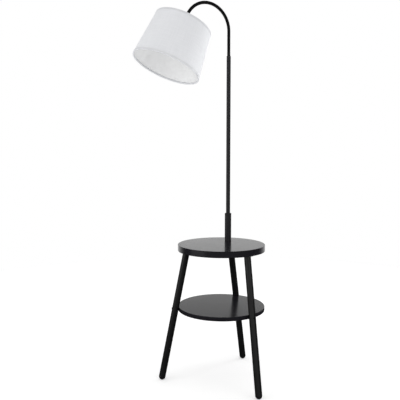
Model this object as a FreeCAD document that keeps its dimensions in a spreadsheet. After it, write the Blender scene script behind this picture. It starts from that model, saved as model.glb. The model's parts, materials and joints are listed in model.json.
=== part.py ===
import FreeCAD, Part
import math
import os
import re

import Sketcher
from FreeCAD import Placement, Rotation, Vector

# A floor lamp with a round table and a shelf. Three skewed round legs carry both boards. A sleeve on
# the table's rear holds a two-section pole, and the pole a flexible neck with a tapered fabric shade.
# Millimetres, +Z up. The origin is on the floor, on the axis of both boards, and the rear leg's top
# is on +Y.

SIZES = (
    # the two boards
    ("table_dia", 350, "table top across"),
    ("table_thick", 25, "table top, thickness"),
    ("table_height", 555, "floor to the upper face of the table top"),
    ("shelf_dia", 350, "lower shelf across"),
    ("shelf_thick", 16, "lower shelf, thickness"),
    ("shelf_height", 305, "floor to the upper face of the shelf"),
    ("board_edge", 1.5, "rounding of the boards' edges"),
    # the legs
    ("leg_dia", 27, "leg across"),
    ("leg_top_radius", 142.5, "leg axis to table axis, at the table's underside"),
    ("leg_foot_radius", 243, "leg axis to table axis, at the floor"),
    ("leg_twist", 8.3, "degrees that the feet are turned clockwise from the tops, seen from above"),
    ("foot_flat", 0.8, "depth of the flat on which each domed foot stands"),
    ("foot_spigot_dia", 12, "foot cap's spigot across"),
    ("foot_spigot_length", 16, "foot cap's spigot, length"),
    ("bore_spare", 1, "depth of blind bores past what they hold"),
    # the legs' fixings under the table
    ("plate_dia", 50, "leg plate across"),
    ("plate_thick", 2.5, "leg plate, thickness"),
    ("plate_boss_dia", 18, "threaded boss of a leg plate across"),
    ("plate_boss_length", 3, "leg's end to the plate, along the leg"),
    ("hanger_bolt_dia", 8, "bolt that joins leg and plate"),
    ("hanger_bolt_in_leg", 36, "its length in the leg"),
    ("hanger_bolt_in_plate", 10, "its length past the leg's end"),
    ("hanger_tip_dia", 4, "its pointed end in the leg across"),
    ("hanger_tip_length", 5, "length of its point"),
    ("hanger_end_bevel", 1, "bevel of its other end"),
    ("relief_dia", 14, "hole in the table over the hanger bolt's end"),
    ("relief_depth", 6, "depth of that hole"),
    ("plate_screw_dia", 4, "leg plate screw"),
    ("plate_screw_length", 16, "its length"),
    ("plate_screw_head_dia", 7.6, "its countersunk head across"),
    ("plate_screw_head_thick", 1.8, "its head, thickness"),
    ("plate_screw_circle", 19, "screws to the plate's centre"),
    # the shelf's fixings
    ("shelf_bolt_dia", 6, "bolt from a leg into the shelf"),
    ("bolt_head_dia", 11, "its low head across"),
    ("bolt_head_thick", 2.9, "its head, thickness"),
    ("bolt_head_rounding", 1.7, "rounding of the head's rim"),
    ("bolt_past_nut", 3, "its length past the cross dowel"),
    ("bolt_seat_depth", 1.3, "depth of the head's flat seat in the leg"),
    ("bolt_seat_play", 0.4, "play round the head in its seat"),
    ("barrel_nut_dia", 10, "cross dowel in the shelf"),
    ("barrel_nut_length", 12, "its length"),
    ("barrel_nut_setback", 25, "its axis to the leg's surface"),
    # the pole
    ("pole_offset", 102, "pole axis to table axis"),
    ("sleeve_dia", 27, "sleeve across"),
    ("sleeve_wall", 1.5, "sleeve, wall"),
    ("sleeve_length", 114, "sleeve, height above the table"),
    ("base_plug_length", 12, "plug in the sleeve's foot"),
    ("top_bush_length", 14, "bush in the sleeve's mouth"),
    ("pole_dia", 17, "pole across"),
    ("pole_wall", 1.5, "pole, wall"),
    ("pole_joint_height", 958, "floor to the joint between the pole's sections"),
    ("pole_top_height", 1313, "floor to the pole's upper end"),
    ("pole_end_bevel", 0.4, "bevel of the pole's ends"),
    ("insert_length", 15, "threaded bushes in the pole's ends"),
    # the hollow threaded stem that holds the sleeve and the pole on the table
    ("thread_dia", 10, "every hollow threaded piece across"),
    ("thread_bore", 6, "way for the lead"),
    ("stem_below", 18, "stem below the table's underside"),
    ("stem_in_pole", 13, "stem inside the pole"),
    ("stem_hole_dia", 10.6, "hole through the table"),
    ("washer_dia", 24, "stem washer across"),
    ("washer_thick", 2, "stem washer, thickness"),
    ("nut_across", 17, "stem nut across flats"),
    ("nut_thick", 6, "stem nut, thickness"),
    ("gland_dia", 16, "cable gland across"),
    ("gland_length", 12, "cable gland, length"),
    ("gland_rounding", 1.2, "rounding of the cable gland's end"),
    ("stud_length", 26, "stud between the pole's sections"),
    # the flexible neck
    ("neck_dia", 13, "neck across its ribs"),
    ("neck_bore", 6, "way for the lead through the neck"),
    ("neck_rise", 98, "straight lower length of the neck"),
    ("neck_bend_radius", 101.4, "radius of the neck's arch at rest"),
    ("neck_bend_angle", 155.4, "degrees that the arch turns"),
    ("neck_end", 40, "straight end, from the arch to the shade's top"),
    ("neck_azimuth", 228.3, "degrees, direction in which the neck leans over"),
    ("rib_pitch", 3.3, "rib to rib"),
    ("rib_depth", 0.5, "depth of the grooves between the ribs"),
    ("link_tilt_gap", 3.2, "each link's rim to the next pivot, which lets the links tilt"),
    ("neck_ferrule_length", 14, "ferrule at the neck's foot"),
    ("neck_pin_dia", 9, "pin on which the neck turns in that ferrule"),
    ("neck_pin_length", 10, "that pin, length"),
    ("neck_stub", 12, "threaded stub at either end of the neck"),
    ("neck_end_hose", 16, "ribbed length past the last pivot"),
    # the lamp holder, measured along the shade's axis from the shade's top
    ("cap_dia", 39, "holder cap across"),
    ("cap_top_dia", 28, "holder cap across its flat end"),
    ("cap_wall", 2, "holder cap, wall"),
    ("cap_rounding", 1.5, "rounding of the cap's flat end"),
    ("cap_shoulder", 8, "height of the cap's slope"),
    ("cap_below", 4, "cap's rim below the shade's top"),
    ("lock_nut_across", 14, "lock nut in the cap across flats"),
    ("lock_nut_thick", 4, "lock nut, thickness"),
    ("holder_dia", 39.4, "holder body across its thread"),
    ("holder_length", 40, "holder body, length"),
    ("holder_flange_dia", 45, "holder flange across"),
    ("holder_flange_thick", 4, "holder flange, thickness"),
    ("holder_wall", 2.7, "holder body, wall round the contact block"),
    ("holder_rounding", 0.8, "rounding of the flange and of the body's mouth"),
    ("block_setback", 3, "contact block below the holder's upper rim"),
    ("block_length", 11.4, "contact block, length"),
    ("shell_bore", 26.6, "threaded shell, bore for the bulb's base"),
    ("shell_wall", 0.6, "threaded shell, wall"),
    ("shell_length", 23, "threaded shell, length"),
    ("shell_flange_thick", 1, "threaded shell's flange, thickness"),
    ("contact_width", 6, "centre contact, width"),
    ("contact_length", 14, "centre contact, length"),
    ("contact_thick", 0.6, "centre contact, thickness"),
    ("contact_button_dia", 5, "centre contact's button across"),
    ("contact_button_height", 1.6, "centre contact's button, height"),
    ("contact_recess", 2, "depth of the recess that holds the centre contact"),
    ("contact_play", 0.3, "play round the centre contact in its recess"),
    ("terminal_dia", 3, "terminal screw"),
    ("terminal_head_dia", 5.6, "terminal screw's head across"),
    ("terminal_head_thick", 1.8, "terminal screw's head, thickness"),
    ("terminal_length", 7, "terminal screw, length"),
    ("terminal_offset", 10, "terminal screws to the holder's axis"),
    ("ring_nut_dia", 56, "ring nut that clamps the shade across"),
    ("ring_nut_thick", 7, "ring nut, thickness"),
    ("ring_nut_rounding", 1, "rounding of the ring nut's rim"),
    # the shade
    ("shade_top_dia", 228, "shade across its upper rim"),
    ("shade_bottom_dia", 271.4, "shade across its lower rim"),
    ("shade_height", 188, "shade along its axis"),
    ("skin_thick", 0.8, "fabric and its backing"),
    ("wire_dia", 3.2, "wire of the shade's rings and spokes"),
    ("hem_width", 8, "folded tape along each rim"),
    ("hem_thick", 0.5, "tape, thickness"),
    ("fitter_dia", 58, "washer in the middle of the shade's spokes across"),
    ("fitter_thick", 1.2, "that washer, thickness"),
    ("spoke_setback", 1.5, "spokes' inner ends to the holder's flange"),
    ("spoke_weld", 0.4, "depth to which the spokes are welded into the washer"),
    # clearances
    ("push_fit", 0.05, "play round what is pushed or screwed into a hole, on the radius"),
    ("soft_fit", 0.1, "play beside cloth, wire and board edges"),
)

ALIASES = {alias for alias, _, _ in SIZES}
LEGS = {"rear": 90, "left": 210, "right": 330}
SCREWS_PER_PLATE = 3
SPOKES = 3
RISE_LINKS = 2
ARCH_LINKS = 7
RIB = ((0, 0), (0.4, 0), (0.55, 1), (0.85, 1))  # shares of the rib's pitch and of its depth
WAY_RINGS = 12
Z = Vector(0, 0, 1)

doc = FreeCAD.newDocument("floor_lamp_with_table")
sheet = doc.addObject("Spreadsheet::Sheet", "Size")
for row, (alias, number, meaning) in enumerate(SIZES, start=1):
    sheet.set(f"A{row}", meaning)
    sheet.set(f"B{row}", str(number))
    sheet.setAlias(f"B{row}", alias)
doc.recompute()

parts = {}


# ---- formulas on the sheet -------------------------------------------------------------------------


def bound(formula):
    """The formula as an expression on the sheet's cells."""

    def cell(word):
        return f"Size.{word.group()}" if word.group() in ALIASES else word.group()

    return re.sub(r"\b[a-z]\w*\b", cell, formula)


def value(formula):
    """The formula's number now."""
    return float(sheet.evalExpression(bound(formula)))


TABLE_UNDER = "(table_height - table_thick)"
PLATE_UNDER = f"({TABLE_UNDER} - plate_thick)"
SHELF_MIDDLE = "(shelf_height - shelf_thick / 2)"
DOME_HEIGHT = "(leg_dia / 2 - foot_flat)"
LEG_SPREAD = (
    "(leg_foot_radius ^ 2 + leg_top_radius ^ 2"
    " - 2 * leg_foot_radius * leg_top_radius * cos(leg_twist * 1 deg))"
)
LEG_STRETCH = f"sqrt(1 + {LEG_SPREAD} / {TABLE_UNDER} ^ 2)"
BOLT_REACH = "(leg_dia / 2 + barrel_nut_setback + barrel_nut_dia / 2 + bolt_past_nut)"
THREAD = "(thread_dia / 2 + push_fit)"


# ---- kinds of piece --------------------------------------------------------------------------------


def keep(label, piece):
    """Takes the piece as a sub-part of the lamp under its own name."""
    piece.Label = label
    parts[label] = piece
    return piece


def along(point, direction):
    """The place at a point whose Z axis has the direction."""
    return Placement(point, Rotation(Z, direction))


def draw(sketch, corners):
    """Closes an outline through corners, each a pair of formulas, and ties every corner to the sheet."""
    spots = [Vector(value(across), value(up), 0) for across, up in corners]
    for i, spot in enumerate(spots):
        sketch.addGeometry(Part.LineSegment(spot, spots[(i + 1) % len(spots)]), False)
    for i in range(len(spots)):
        sketch.addConstraint(Sketcher.Constraint("Coincident", i, 2, (i + 1) % len(spots), 1))
    for i, corner in enumerate(corners):
        for kind, axis, formula, now in zip(("DistanceX", "DistanceY"), (-2, -1), corner, spots[i]):
            if formula == "0":
                sketch.addConstraint(Sketcher.Constraint("PointOnObject", i, 1, axis))
            else:
                index = sketch.addConstraint(Sketcher.Constraint(kind, -1, 1, i, 1, now))
                sketch.setExpression(f"Constraints[{index}]", bound(formula))


def turned(name, corners, place=Placement()):
    """A piece of revolution about its own Z axis, from corners as (radius, height) formulas."""
    body = doc.addObject("PartDesign::Body", name)
    sketch = body.newObject("Sketcher::SketchObject", f"{name}_outline")
    plane = next(item for item in body.Origin.OriginFeatures if item.Role == "XZ_Plane")
    sketch.AttachmentSupport = (plane, "")
    sketch.MapMode = "FlatFace"
    draw(sketch, corners)
    turn = body.newObject("PartDesign::Revolution", f"{name}_turn")
    turn.Profile = sketch
    turn.ReferenceAxis = (sketch, ["V_Axis"])
    turn.Angle = 360
    body.Placement = place
    return body


def softened(body, kind, amount, rims):
    """Rounds (Fillet) or bevels (Chamfer) the body's round edges at (radius, height) formulas."""
    doc.recompute()
    base = body.Tip
    wanted = [(value(radius), value(height)) for radius, height in rims]
    names = []
    for i, edge in enumerate(base.Shape.Edges, start=1):
        if isinstance(edge.Curve, Part.Circle):
            rim = (edge.Curve.Radius, edge.Curve.Center.z)
            if any(math.dist(rim, one) < 1e-4 for one in wanted):
                names.append(f"Edge{i}")
    feature = body.newObject(f"PartDesign::{kind}", f"{body.Name}_{kind.lower()}")
    feature.Base = (base, names)
    feature.setExpression("Radius" if kind == "Fillet" else "Size", bound(amount))
    return body


def pipe(name, outer, inner, low, high, place):
    """A turned tube or ring between two heights."""
    return turned(name, ((inner, low), (outer, low), (outer, high), (inner, high)), place)


def rod(name, radius, length, place):
    """A plain cylinder along its place's Z axis, also used as a drill."""
    piece = doc.addObject("Part::Cylinder", name)
    piece.setExpression("Radius", bound(radius))
    piece.setExpression("Height", bound(length))
    piece.Placement = place
    return piece


def cone(name, first, second, length, place):
    """A cone along its place's Z axis, from the first radius to the second."""
    piece = doc.addObject("Part::Cone", name)
    piece.setExpression("Radius1", bound(first))
    piece.setExpression("Radius2", bound(second))
    piece.setExpression("Height", bound(length))
    piece.Placement = place
    return piece


def block(name, width, depth, height, place):
    """A plate centred on its place's Z axis and standing on its place."""
    piece = doc.addObject("Part::Box", name)
    piece.setExpression("Length", bound(width))
    piece.setExpression("Width", bound(depth))
    piece.setExpression("Height", bound(height))
    corner = Vector(-value(width) / 2, -value(depth) / 2, 0)
    piece.Placement = place.multiply(Placement(corner, Rotation()))
    return piece


def joined(name, pieces):
    """Pieces made as one."""
    whole = doc.addObject("Part::MultiFuse", name)
    whole.Shapes = pieces
    return whole


def cut(name, base, drills):
    """The base with every drill's shape taken out of it."""
    result = doc.addObject("Part::Cut", name)
    result.Base = base
    result.Tool = drills[0] if len(drills) == 1 else joined(f"{name}_drills", drills)
    return result


def hex_nut(name, across, thick, place):
    """A hexagon nut on the common thread, standing on its place."""
    blank = doc.addObject("Part::Prism", f"{name}_blank")
    blank.Polygon = 6
    blank.setExpression("Circumradius", bound(f"{across} / sqrt(3)"))
    blank.setExpression("Height", bound(thick))
    blank.Placement = place
    return cut(name, blank, [rod(f"{name}_thread", THREAD, thick, place)])


def group(label, master, places):
    """A node that holds a copy of the master piece at each place."""
    doc.recompute()
    copies = []
    for place in places:
        copy = master.Shape.copy()
        copy.Placement = place.multiply(copy.Placement)
        copies.append(copy)
    node = doc.addObject("Part::Feature", label)
    node.Shape = Part.makeCompound(copies)
    return keep(label, node)


# ---- the legs and what fixes them ------------------------------------------------------------------


class Leg:
    """Where one leg stands and points."""

    def __init__(self, side, azimuth):
        self.side = side
        self.azimuth = azimuth
        self.foot = self.polar(value("leg_foot_radius"), azimuth - value("leg_twist"), 0)
        self.top = self.polar(value("leg_top_radius"), azimuth, value(TABLE_UNDER))
        self.axis = (self.top - self.foot).normalize()
        self.dome = self.at(value(DOME_HEIGHT))
        self.plate = self.at(value(PLATE_UNDER))
        self.seat = self.plate - self.axis * value("plate_boss_length")
        self.crossing = self.at(value(SHELF_MIDDLE))
        self.outward = Vector(self.crossing.x, self.crossing.y, 0).normalize()
        self.bolt_seat = self.crossing + self.outward * value("leg_dia / 2 - bolt_seat_depth")
        self.nut = self.crossing - self.outward * value("leg_dia / 2 + barrel_nut_setback")

    @staticmethod
    def polar(radius, azimuth, height):
        angle = math.radians(azimuth)
        return Vector(radius * math.cos(angle), radius * math.sin(angle), height)

    def at(self, height):
        """The point of the leg's axis at a height above the floor."""
        return self.foot + self.axis * (height / self.axis.z)

    def screw_places(self):
        """Where the plate's screws enter it from below, all upright."""
        turns = [self.azimuth + 360 * i / SCREWS_PER_PLATE for i in range(SCREWS_PER_PLATE)]
        centre = Vector(self.plate.x, self.plate.y, value(PLATE_UNDER))
        circle = value("plate_screw_circle")
        return [Placement(centre + self.polar(circle, turn, 0), Rotation()) for turn in turns]


def leg_piece(leg):
    """A turned wooden leg, bored at both ends and across for the shelf's bolt."""
    name = f"leg_{leg.side}"
    length = f"({PLATE_UNDER} - {DOME_HEIGHT}) * {LEG_STRETCH} - plate_boss_length"
    blank = rod(f"{name}_blank", "leg_dia / 2", length, along(leg.dome, leg.axis))
    bolt_bore = rod(
        f"{name}_bolt_bore",
        "hanger_bolt_dia / 2 + push_fit",
        "hanger_bolt_in_leg + bore_spare",
        along(leg.seat, -leg.axis),
    )
    spigot_bore = rod(
        f"{name}_spigot_bore",
        "foot_spigot_dia / 2 + push_fit",
        "foot_spigot_length + bore_spare",
        along(leg.dome, leg.axis),
    )
    cross_bore = rod(
        f"{name}_cross_bore",
        "shelf_bolt_dia / 2 + push_fit",
        "2 * leg_dia",
        along(leg.crossing + leg.outward * value("leg_dia"), -leg.outward),
    )
    head_seat = rod(
        f"{name}_head_seat",
        "bolt_head_dia / 2 + bolt_seat_play",
        "leg_dia",
        along(leg.bolt_seat, leg.outward),
    )
    return keep(name, cut(name, blank, [bolt_bore, spigot_bore, cross_bore, head_seat]))


def foot_cap(leg):
    """A domed cap with a spigot in the leg, worn flat where it stands."""
    name = f"foot_cap_{leg.side}"
    dome = doc.addObject("Part::Sphere", f"{name}_dome")
    dome.setExpression("Radius", bound("leg_dia / 2"))
    dome.Angle1 = -90
    dome.Angle2 = 0
    dome.Placement = along(leg.dome, leg.axis)
    spigot = rod(
        f"{name}_spigot", "foot_spigot_dia / 2", "foot_spigot_length", along(leg.dome, leg.axis)
    )
    floor = rod(f"{name}_floor", "leg_dia", "leg_dia", along(leg.foot, -Z))
    return keep(name, cut(name, joined(f"{name}_blank", [dome, spigot]), [floor]))


def leg_plate(leg):
    """A round steel plate with a threaded boss that points along its leg."""
    name = f"leg_plate_{leg.side}"
    centre = Vector(leg.plate.x, leg.plate.y, value(PLATE_UNDER))
    disc = rod(f"{name}_disc", "plate_dia / 2", "plate_thick", Placement(centre, Rotation()))
    boss = rod(
        f"{name}_boss",
        "plate_boss_dia / 2",
        "plate_boss_length + plate_thick",
        along(leg.seat, leg.axis),
    )
    table = rod(
        f"{name}_table",
        "plate_dia / 2",
        "plate_dia",
        Placement(centre + Z * value("plate_thick"), Rotation()),
    )
    bore = rod(
        f"{name}_bore",
        "hanger_bolt_dia / 2 + push_fit",
        "plate_dia",
        along(leg.seat, leg.axis),
    )
    drills = [table, bore]
    for i, place in enumerate(leg.screw_places()):
        shank = "plate_screw_dia / 2 + push_fit"
        drills.append(rod(f"{name}_screw_hole_{i}", shank, "plate_thick", place))
        head = "plate_screw_head_dia / 2 + push_fit"
        drills.append(cone(f"{name}_sink_{i}", head, shank, "plate_screw_head_thick", place))
    return keep(name, cut(name, joined(f"{name}_blank", [disc, boss]), drills))


def fasteners(legs):
    """The hanger bolts, plate screws, shelf bolts and cross dowels of all three legs."""
    radius = "hanger_bolt_dia / 2"
    length = "(hanger_bolt_in_leg + hanger_bolt_in_plate)"
    hanger = turned(
        "hanger_bolt",
        (
            ("0", "0"),
            ("hanger_tip_dia / 2", "0"),
            (radius, "hanger_tip_length"),
            (radius, f"{length} - hanger_end_bevel"),
            (f"{radius} - hanger_end_bevel", length),
            ("0", length),
        ),
    )
    start = value("hanger_bolt_in_leg")
    group("hanger_bolts", hanger, [along(leg.seat - leg.axis * start, leg.axis) for leg in legs])

    screw = turned(
        "plate_screw",
        (
            ("0", "0"),
            ("plate_screw_head_dia / 2", "0"),
            ("plate_screw_dia / 2", "plate_screw_head_thick"),
            ("plate_screw_dia / 2", "plate_screw_length - plate_screw_dia"),
            ("0", "plate_screw_length"),
        ),
    )
    group("leg_plate_screws", screw, [place for leg in legs for place in leg.screw_places()])

    shank = "shelf_bolt_dia / 2"
    shank_end = f"(leg_dia / 2 - bolt_seat_depth + {BOLT_REACH})"
    bolt = turned(
        "shelf_bolt",
        (
            ("0", "-bolt_head_thick"),
            ("bolt_head_dia / 2", "-bolt_head_thick"),
            ("bolt_head_dia / 2", "0"),
            (shank, "0"),
            (shank, shank_end),
            ("0", shank_end),
        ),
    )
    softened(bolt, "Fillet", "bolt_head_rounding", [("bolt_head_dia / 2", "-bolt_head_thick")])
    group("shelf_bolts", bolt, [along(leg.bolt_seat, -leg.outward) for leg in legs])

    half = "barrel_nut_length / 2"
    low = Placement(Vector(0, 0, -value(half)), Rotation())
    barrel = rod("barrel_nut_blank", "barrel_nut_dia / 2", "barrel_nut_length", low)
    through = rod(
        "barrel_nut_thread",
        "shelf_bolt_dia / 2 + push_fit",
        "2 * barrel_nut_dia",
        along(Vector(-value("barrel_nut_dia"), 0, 0), Vector(1, 0, 0)),
    )
    nut = cut("barrel_nut", barrel, [through])
    turns = [math.degrees(math.atan2(leg.outward.y, leg.outward.x)) for leg in legs]
    places = [Placement(leg.nut, Rotation(Z, turn)) for leg, turn in zip(legs, turns)]
    group("shelf_barrel_nuts", nut, places)


# ---- the boards ------------------------------------------------------------------------------------


def board(name, across, thick, height):
    """A round board with rounded edges."""
    low = f"({height} - {thick})"
    edge = f"{across} / 2"
    disc = turned(name, (("0", low), (edge, low), (edge, height), ("0", height)))
    return softened(disc, "Fillet", "board_edge", [(edge, low), (edge, height)])


def table_top(legs):
    """The table top, bored from below for the stem, the hanger bolts' ends and the plate screws."""
    blank = board("table_board", "table_dia", "table_thick", "table_height")
    drills = [
        rod(
            "table_stem_hole",
            "stem_hole_dia / 2",
            "table_thick",
            Placement(Vector(0, value("pole_offset"), value(TABLE_UNDER)), Rotation()),
        )
    ]
    for leg in legs:
        relief = Placement(leg.top, Rotation())
        drills.append(rod(f"table_relief_{leg.side}", "relief_dia / 2", "relief_depth", relief))
        for i, place in enumerate(leg.screw_places()):
            pilot = f"table_pilot_{leg.side}_{i}"
            depth = "plate_screw_length + bore_spare"
            drills.append(rod(pilot, "plate_screw_dia / 2 + push_fit", depth, place))
    return keep("table_top", cut("table_top", blank, drills))


def lower_shelf(legs):
    """The shelf, its edge hollowed slightly for each leg and bored for the bolts and cross dowels."""
    blank = board("shelf_board", "shelf_dia", "shelf_thick", "shelf_height")
    drills = []
    for leg in legs:
        hollow = along(leg.foot, leg.axis)
        length = f"{TABLE_UNDER} * {LEG_STRETCH}"
        drills.append(rod(f"shelf_hollow_{leg.side}", "leg_dia / 2 + soft_fit", length, hollow))
        reach = f"{BOLT_REACH} + bore_spare"
        bolt = along(leg.crossing, -leg.outward)
        drills.append(rod(f"shelf_bolt_{leg.side}", "shelf_bolt_dia / 2 + push_fit", reach, bolt))
        under = Vector(leg.nut.x, leg.nut.y, value("shelf_height - shelf_thick"))
        depth = "shelf_thick / 2 + barrel_nut_length / 2 + soft_fit"
        nut = Placement(under, Rotation())
        drills.append(rod(f"shelf_nut_{leg.side}", "barrel_nut_dia / 2 + push_fit", depth, nut))
    return keep("lower_shelf", cut("lower_shelf", blank, drills))


# ---- the pole --------------------------------------------------------------------------------------


def pole_parts():
    """The sleeve, the pole's two sections and the threaded pieces that hold them on the table."""
    place = Placement(Vector(0, value("pole_offset"), 0), Rotation())
    thread = "thread_dia / 2"
    bore = "thread_bore / 2"

    sleeve_bore = "(sleeve_dia / 2 - sleeve_wall)"
    sleeve_top = "(table_height + sleeve_length)"
    sleeve = pipe("sleeve", "sleeve_dia / 2", sleeve_bore, "table_height", sleeve_top, place)
    softened(sleeve, "Chamfer", "pole_end_bevel", [("sleeve_dia / 2", sleeve_top)])
    keep("pole_sleeve", sleeve)
    plug_top = "(table_height + base_plug_length)"
    inside = f"{sleeve_bore} - push_fit"
    keep("sleeve_base_plug", pipe("plug", inside, THREAD, "table_height", plug_top, place))
    bush_low = f"({sleeve_top} - top_bush_length)"
    bush = pipe("bush", inside, "pole_dia / 2 + push_fit", bush_low, sleeve_top, place)
    keep("sleeve_top_bush", bush)

    stem_foot = f"({TABLE_UNDER} - stem_below)"
    stem_head = f"({plug_top} + stem_in_pole)"
    keep("table_stem", pipe("stem", thread, bore, stem_foot, stem_head, place))
    washer_low = f"({TABLE_UNDER} - washer_thick)"
    washer = pipe("washer", "washer_dia / 2", THREAD, washer_low, TABLE_UNDER, place)
    keep("stem_washer", washer)
    nut_low = f"({washer_low} - nut_thick)"
    nut_place = place.multiply(Placement(Z * value(nut_low), Rotation()))
    keep("stem_nut", hex_nut("nut", "nut_across", "nut_thick", nut_place))
    gland_low = f"({nut_low} - gland_length)"
    gland = turned(
        "gland",
        (
            (bore, gland_low),
            ("gland_dia / 2", gland_low),
            ("gland_dia / 2", nut_low),
            (THREAD, nut_low),
            (THREAD, f"{stem_foot} - soft_fit"),
            (bore, f"{stem_foot} - soft_fit"),
        ),
        place,
    )
    softened(gland, "Fillet", "gland_rounding", [("gland_dia / 2", gland_low), (bore, gland_low)])
    keep("cable_gland", gland)

    outer = "pole_dia / 2"
    inner = "(pole_dia / 2 - pole_wall)"
    joint = "pole_joint_height"
    top = "pole_top_height"
    lower = pipe("lower_tube", outer, inner, plug_top, joint, place)
    keep("pole_lower", softened(lower, "Chamfer", "pole_end_bevel", [(outer, joint)]))
    upper = pipe("upper_tube", outer, inner, joint, top, place)
    keep("pole_upper", softened(upper, "Chamfer", "pole_end_bevel", [(outer, joint), (outer, top)]))
    inserts = {
        "pole_foot_insert": (plug_top, f"{plug_top} + insert_length"),
        "pole_joint_insert": (f"{joint} - insert_length", joint),
        "pole_upper_insert": (joint, f"{joint} + insert_length"),
        "pole_top_insert": (f"{top} - insert_length", top),
    }
    for label, (low, high) in inserts.items():
        keep(label, pipe(f"{label}_bush", f"{inner} - push_fit", THREAD, low, high, place))
    stud_low = f"({joint} - stud_length / 2)"
    stud = pipe("stud", thread, bore, stud_low, f"{stud_low} + stud_length", place)
    keep("pole_joint_stud", stud)

    ferrule_top = f"({top} + neck_ferrule_length)"
    pin = "neck_pin_dia / 2 + push_fit"
    pin_foot = f"{ferrule_top} - neck_pin_length - soft_fit"
    ferrule = turned(
        "ferrule",
        (
            (bore, f"{top} - neck_stub"),
            (thread, f"{top} - neck_stub"),
            (thread, top),
            ("neck_dia / 2", top),
            ("neck_dia / 2", ferrule_top),
            (pin, ferrule_top),
            (pin, pin_foot),
            (bore, pin_foot),
        ),
        place,
    )
    keep("neck_bottom_ferrule", ferrule)


# ---- the flexible neck -----------------------------------------------------------------------------


def neck_place(run):
    """The place on the neck's centreline that lies a run above the pole: Z points along the neck and
    X across its plane, so that a turn about X bends the neck."""
    heading = math.radians(value("neck_azimuth"))
    ahead = Vector(math.cos(heading), math.sin(heading), 0)
    across = Z.cross(ahead)
    radius = value("neck_bend_radius")
    full = math.radians(value("neck_bend_angle"))
    angle = min(max((run - value("neck_rise")) / radius, 0), full)
    forward = ahead * math.sin(angle) + Z * math.cos(angle)
    straight = min(run, value("neck_rise"))
    point = Vector(0, value("pole_offset"), value("pole_top_height")) + Z * straight
    point += ahead * (radius * (1 - math.cos(angle))) + Z * (radius * math.sin(angle))
    beyond = run - value("neck_rise") - radius * full
    if beyond > 0:
        point += forward * beyond
    return Placement(point, Rotation(across, forward.cross(across), forward, "ZXY"))


class NeckLength:
    """A length of the neck, built about its lower pivot, where it has its place."""

    def __init__(self, start):
        self.start = start
        self.home = neck_place(start)

    def placed(self, shape, run):
        """Puts the shape on the centreline, as seen from the lower pivot."""
        shape.Placement = self.home.inverse().multiply(neck_place(run))
        return shape

    def ring(self, radius, run):
        return self.placed(Part.Wire(Part.makeCircle(radius)), run)

    def ribbed(self, end):
        """A whole number of ribs up to the end, each four circles, with crests at both ends."""
        crest = value("neck_dia / 2")
        count = max(1, round((end - self.start) / value("rib_pitch")))
        pitch = (end - self.start) / count
        rings = [
            self.ring(crest - sunk * value("rib_depth"), self.start + pitch * (i + share))
            for i in range(count)
            for share, sunk in RIB
        ]
        return Part.makeLoft(rings + [self.ring(crest, end)], True, True)

    def way(self, end):
        """The way for the lead, run well past both ends."""
        first = self.start - value("neck_dia")
        step = (end + value("neck_dia") - first) / WAY_RINGS
        rings = [self.ring(value("neck_bore / 2"), first + step * i) for i in range(WAY_RINGS + 1)]
        return Part.makeLoft(rings, True, True)

    def pin(self, radius, start, end):
        """A plain cylinder along a straight length."""
        return self.placed(Part.makeCylinder(radius, end - start), start)

    def ball(self):
        """The half ball below the lower pivot."""
        radius = value("neck_dia / 2")
        return self.placed(Part.makeSphere(radius, Vector(), Z, -90, 0, 360), self.start)

    def cup(self, end):
        """The hollow in which the next length's ball turns."""
        return self.placed(Part.makeSphere(value("neck_dia / 2 + push_fit")), end)

    def keep(self, label, shape, end):
        """Bores the length for the lead and takes it as a sub-part."""
        node = doc.addObject("Part::Feature", label)
        node.Shape = shape.cut(self.way(end)).removeSplitter()
        node.Placement = self.home
        return keep(label, node)


def neck_pivots():
    """The runs at which the neck turns and bends, from its foot to the lamp."""
    foot = value("neck_ferrule_length")
    rise = value("neck_rise")
    arch = value("neck_bend_radius") * math.radians(value("neck_bend_angle"))
    pivots = [foot + (rise - foot) * i / RISE_LINKS for i in range(RISE_LINKS)]
    return pivots + [rise + arch * i / ARCH_LINKS for i in range(ARCH_LINKS + 1)]


def neck_parts():
    """The links, each with a ball in the cup of the link below, and the ferrule at the lamp."""
    pivots = neck_pivots()
    for i, (start, end) in enumerate(zip(pivots, pivots[1:]), start=1):
        link = NeckLength(start)
        foot = link.ball()
        if i == 1:
            foot = link.pin(value("neck_pin_dia / 2"), start - value("neck_pin_length"), start)
        shape = link.ribbed(end - value("link_tilt_gap")).fuse(foot)
        link.keep(f"neck_link_{i}", shape.cut(link.cup(end)), end)
    tip = NeckLength(pivots[-1])
    shoulder = tip.start + value("neck_end_hose")
    stub = tip.pin(value("thread_dia / 2"), shoulder, shoulder + value("neck_stub"))
    tip.keep("neck_top_ferrule", tip.ribbed(shoulder).fuse(tip.ball()).fuse(stub), shoulder)
    return neck_place(tip.start + value("neck_end"))


# ---- the lamp holder -------------------------------------------------------------------------------


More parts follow.
